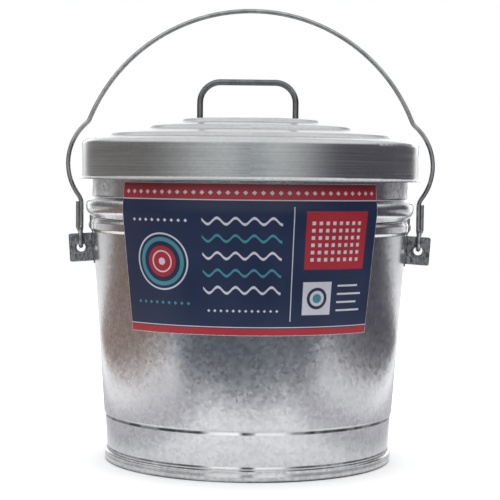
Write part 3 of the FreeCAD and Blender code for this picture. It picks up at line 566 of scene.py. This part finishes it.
def diamond_measure(group, given):
    """Diamonds in a row."""
    aside = off_pitch(group, given["Across"], given["Pitch"])
    above = maths(group, "ABSOLUTE", maths(group, "SUBTRACT", given["Up"], given["Height"]))
    return maths(group, "SUBTRACT", given["Reach"], maths(group, "ADD", aside, above))


def check_measure(group, given):
    """Small squares in rows and columns."""
    aside = off_pitch(group, given["Across"], given["Pitch"])
    above = off_pitch(group, given["Up"], given["Pitch"])
    return maths(group, "SUBTRACT", given["Reach"], maths(group, "MAXIMUM", aside, above))


BOX_VALUES = {"Left": 0.0, "Right": 1.0, "Low": 0.0, "High": 1.0}
RING_VALUES = {"Middle": 0.0, "Height": 0.0, "Radius": 1.0, "Width": 1.0}
WAVE_VALUES = {"Height": 0.0, "Swing": 1.0, "Length": 10.0, "Width": 1.0}
PRINT_BOX = print_group("print_box", BOX_VALUES, box_measure)
PRINT_RING = print_group("print_ring", RING_VALUES, ring_measure)
PRINT_WAVE = print_group("print_wave", WAVE_VALUES, wave_measure)
PRINT_DIAMONDS = print_group("print_diamonds", {"Height": 0.0, "Pitch": 9.0, "Reach": 2.0}, diamond_measure)
PRINT_CHECKS = print_group("print_checks", {"Pitch": 8.0, "Reach": 1.5}, check_measure)

label_print, tree, paper = new_finish("label")
place = node(tree, "TexCoord").outputs["Object"]
spot = split(tree, place)
across = maths(tree, "MULTIPLY", from_front(tree, spot), LABEL_ROUND)
up = maths(tree, "MULTIPLY_ADD", spot["Z"], MM_PER_METRE, -LABEL_FOOT)


def printed(group, **values):
    """The mask of one printed shape."""
    measures = {name.capitalize(): value for name, value in values.items()}
    shape = node(tree, "Group", {"Across": across, "Up": up, **measures}, node_tree=group)
    return shape.outputs["Mask"]


def printed_box(left, right, low, high):
    """The mask of a printed rectangle."""
    return printed(PRINT_BOX, left=left, right=right, low=low, high=high)


def within(mask, left, right, low, high):
    """A mask kept to a box."""
    return maths(tree, "MULTIPLY", mask, printed_box(left, right, low, high))


# where the shapes lie, in millimetres from the label's middle and its foot
EDGE = 140
TARGET = {"middle": -86, "height": 70}
WAVES_FROM = -44
WAVES_TO = 30
WAVES = 5
WAVE_TOP = 110.0
WAVE_PITCH = 16.5
PANEL_FROM = 52
PANEL_TO = 118
RULES = 4
RULE_FROM = 89
RULE_FOOT = 23.0
RULE_PITCH = 8.0
RULE_WIDTH = 1.8
RULE_SHORTER = 5

layers = [
    # the red strips along the upper and lower edges, each with a pale line
    (printed_box(-EDGE, EDGE, 131.0, 150), RED),
    (printed_box(-EDGE, EDGE, 129.6, 130.6), PALE),
    (within(printed(PRINT_DIAMONDS, height=137.0, pitch=8.0, reach=2.3), -128, 128, 131, 145), PALE),
    (printed_box(-EDGE, EDGE, -5, 7.0), RED),
    (printed_box(-EDGE, EDGE, 7.8, 8.6), PALE),
    # the rings on the left, with a row of diamonds over and under them
    (printed(PRINT_RING, **TARGET, radius=27, width=1.6), PALE),
    (printed(PRINT_RING, **TARGET, radius=21.5, width=4.0), TEAL),
    (printed(PRINT_RING, **TARGET, radius=0, width=30), RED),
    (printed(PRINT_RING, **TARGET, radius=10, width=1.4), PALE),
    (printed(PRINT_RING, **TARGET, radius=0, width=7), PALE),
    (within(printed(PRINT_DIAMONDS, height=110.0, pitch=7.0, reach=1.8), -119, -56, 105, 121), PALE),
    (within(printed(PRINT_DIAMONDS, height=30.0, pitch=7.0, reach=1.8), -119, -56, 20, 36), TEAL),
]
# the waves in the middle, pale and teal in turn, with a row of diamonds under them
for row in range(WAVES):
    wave = printed(PRINT_WAVE, height=WAVE_TOP - WAVE_PITCH * row, swing=3.0, length=17.0, width=2.6)
    layers.append((within(wave, WAVES_FROM, WAVES_TO, 30, 122), TEAL if row % 2 else PALE))
under_waves = printed(PRINT_DIAMONDS, height=24.0, pitch=6.0, reach=1.5)
layers += [
    (within(under_waves, WAVES_FROM + 2, WAVES_TO, 18, 30), PALE),
    # the thin upright rule, and the checked panel and the pale block on the right
    (printed_box(40.0, 40.9, 14, 124), PALE),
    (printed_box(PANEL_FROM, PANEL_TO, 64, 120), RED),
    (within(printed(PRINT_CHECKS, pitch=7.0, reach=1.7), 56, 112, 70, 112), PALE),
    (printed_box(PANEL_FROM, PANEL_FROM + 30, 20, 52), PALE),
    (printed(PRINT_RING, middle=67, height=36, radius=9, width=3.0), NAVY),
    (printed(PRINT_RING, middle=67, height=36, radius=0, width=9), TEAL),
]
# the pale rules beside the block, every other one shorter
for row in range(RULES):
    low = RULE_FOOT + RULE_PITCH * row
    rule_to = PANEL_TO - RULE_SHORTER * (row % 2)
    layers.append((printed_box(RULE_FROM, rule_to, low, low + RULE_WIDTH), PALE))

PAPER_EDGE = (0.62, 0.60, 0.58, 1)
EDGE_WORN = (0.7, 0.2)
EDGE_RAGGED = 1.4
FIBRES_PER_METRE = 900.0
FADED_PER_METRE = 22.0
RIPPLES_PER_METRE = 30.0
# how light the print is: its least, and what the fading and the fibres add
PRINT_LEAST = 0.58
FADED_ADDS = 0.5
FIBRES_ADD = 0.35
LID_SHADE_REACH = 9.0
LID_SHADE = 0.5
LABEL_ROUGHNESS = (0.34, 0.44)
LABEL_BUMP = 0.35
LABEL_RELIEF = 0.0008
FIBRE_RELIEF = 0.04
VARNISH = 0.15
VARNISH_ROUGHNESS = 0.22

colour = NAVY
for mask, ink in layers:
    colour = mixed(tree, mask, colour, ink)
fibre = noise(tree, place, FIBRES_PER_METRE, 3.0)
faded = noise(tree, place, FADED_PER_METRE, 3.0)
lighter = maths(tree, "MULTIPLY_ADD", faded, FADED_ADDS, PRINT_LEAST)
lighter = maths(tree, "MULTIPLY_ADD", fibre, FIBRES_ADD, lighter)
under_lid = ramped(tree, up, LABEL_TOP - LID_SHADE_REACH, LABEL_TOP, 1.0, LID_SHADE)
shaded = {0: 1.0, 6: colour, 7: maths(tree, "MULTIPLY", lighter, under_lid)}
colour = node(tree, "Mix", shaded, data_type="RGBA", blend_type="MULTIPLY").outputs[2]
ragged = maths(tree, "MULTIPLY_ADD", fibre, EDGE_RAGGED, -EDGE_RAGGED / 2)
edge = maths(tree, "MINIMUM", maths(tree, "SUBTRACT", LABEL_HALF, maths(tree, "ABSOLUTE", across)), up)
edge = maths(tree, "MINIMUM", edge, maths(tree, "SUBTRACT", LABEL_TOP, up))
bare = ramped(tree, maths(tree, "ADD", edge, ragged), *EDGE_WORN)
tree.links.new(mixed(tree, bare, colour, PAPER_EDGE), paper["Base Color"])
tree.links.new(ramped(tree, faded, *NOISE_SPAN, *LABEL_ROUGHNESS), paper["Roughness"])
sheet = maths(tree, "MULTIPLY_ADD", fibre, FIBRE_RELIEF, noise(tree, place, RIPPLES_PER_METRE, 1.0))
bump = node(tree, "Bump", {"Strength": LABEL_BUMP, "Distance": LABEL_RELIEF, "Height": sheet})
tree.links.new(bump.outputs[0], paper["Normal"])
paper["Coat Weight"].default_value = VARNISH
paper["Coat Roughness"].default_value = VARNISH_ROUGHNESS
dress(label_print, "label")

# --- The lid ----------------------------------------------------------------------------
# Galvanized sheet, pressed and spun: three steps in its top, a deep skirt and a flared lower
# edge. The tool left fine rings all round it, and they smear what the metal mirrors.
LID_RING = 0.0014
LID_TILT = 0.008
LID_DARK = (0.54, 0.55, 0.555, 1)
LID_LIGHT = (0.67, 0.68, 0.68, 1)
LID_ROUGHNESS = (0.17, 0.21)
RING_ROUGHNESS = 0.1
RING_SHARE = 0.85
MOTTLE_SHARE = 0.15
LID_BUMP = 0.2
LID_RELIEF = 0.0001

galvanized_lid, tree, steel = new_finish("galvanized_lid")
zinc = node(tree, "Group", {"Crystal": WALL_CRYSTAL, "Tilt": LID_TILT}, node_tree=SPANGLE).outputs
rings = node(tree, "Group", {"Ring": LID_RING}, node_tree=TURNING).outputs["Rings"]
streaked = blended(tree, rings, RING_SHARE, zinc["Tone"], MOTTLE_SHARE)
tree.links.new(mixed(tree, ramped(tree, streaked, *NOISE_SPAN), LID_DARK, LID_LIGHT), steel["Base Color"])
dull = ramped(tree, zinc["Blotch"], *NOISE_SPAN, *LID_ROUGHNESS)
tree.links.new(maths(tree, "MULTIPLY_ADD", rings, RING_ROUGHNESS, dull), steel["Roughness"])
spun = {"Strength": LID_BUMP, "Distance": LID_RELIEF, "Height": rings, "Normal": zinc["Normal"]}
tree.links.new(node(tree, "Bump", spun).outputs[0], steel["Normal"])
steel["Metallic"].default_value = 1.0
dress(galvanized_lid, "lid_shell")

# --- The lid's handle -------------------------------------------------------------------
# A bent steel rod, zinc-plated, whose ends go through a washer and the lid and are hammered
# over underneath.
ROD_DARK = (0.05, 0.05, 0.052, 1)
ROD_LIGHT = (0.28, 0.28, 0.287, 1)

rod = drawn_metal("rod", ROD_DARK, ROD_LIGHT, pit=0.0013, relief=0.0002)
dress(rod, "lid_handle", "lid_handle_washers")

# --- The bail ---------------------------------------------------------------------------
# One length of galvanized wire, bowed out round the lid's edge, with an eye bent at each end
# through an ear and its end laid back along the leg.
dress(wire, "bail")
